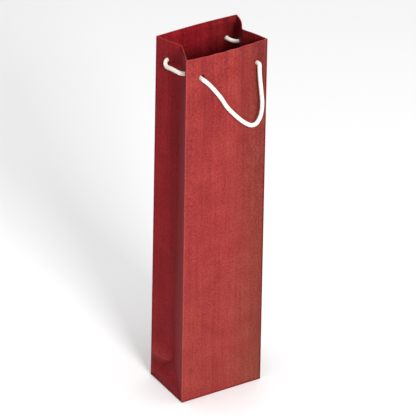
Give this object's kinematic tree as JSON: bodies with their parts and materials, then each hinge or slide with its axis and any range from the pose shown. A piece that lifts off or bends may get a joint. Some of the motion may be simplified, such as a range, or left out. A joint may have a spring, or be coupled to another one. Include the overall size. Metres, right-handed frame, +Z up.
{
  "type": "wine gift bag",
  "caption": "Tall narrow paper gift bag for one bottle, with pushed-in sides, a folded block bottom and a rope cord handle at the front and back.",
  "frame": {"origin": "middle of the footprint, on the surface that the bag stands on", "axes": "+X along the front to the right, +Y from the front to the back, +Z up to the mouth"},
  "size_m": [0.0923, 0.0834, 0.378],
  "materials": {
    "red_paper": "satin",
    "grey_board": "matte",
    "white_cord": "matte"
  },
  "bodies": {
    "bag": {"front_panel": "red_paper", "back_panel": "red_paper", "left_gusset_front": "red_paper", "left_gusset_rear": "red_paper", "right_gusset_front": "red_paper", "right_gusset_rear": "red_paper", "left_base_triangle": "red_paper", "right_base_triangle": "red_paper", "front_hem": "red_paper", "back_hem": "red_paper", "left_gusset_front_hem": "red_paper", "left_gusset_rear_hem": "red_paper", "right_gusset_front_hem": "red_paper", "right_gusset_rear_hem": "red_paper", "glue_lap": "red_paper", "back_bottom_flap": "red_paper", "front_bottom_flap": "red_paper", "left_bottom_flap": "red_paper", "right_bottom_flap": "red_paper", "front_stiffener": "grey_board", "back_stiffener": "grey_board", "base_card": "grey_board", "left_cord_pass": "white_cord", "right_cord_pass": "white_cord"},
    "front_handle": {"front_handle_cord": "white_cord"},
    "back_handle": {"back_handle_cord_left": "white_cord", "back_handle_cord_right": "white_cord", "cord_knot": "white_cord", "cord_tail_left": "white_cord", "cord_tail_right": "white_cord"}
  },
  "joints": [
    {"name": "front_handle_swing", "type": "hinge", "parent": "bag", "child": "front_handle", "pos_m": [0, -0.0326, 0.356], "axis": [-1, 0, 0], "range_deg": [0, 180]},
    {"name": "back_handle_swing", "type": "hinge", "parent": "bag", "child": "back_handle", "pos_m": [0, 0.0326, 0.356], "axis": [1, 0, 0], "range_deg": [0, 180]}
  ]
}
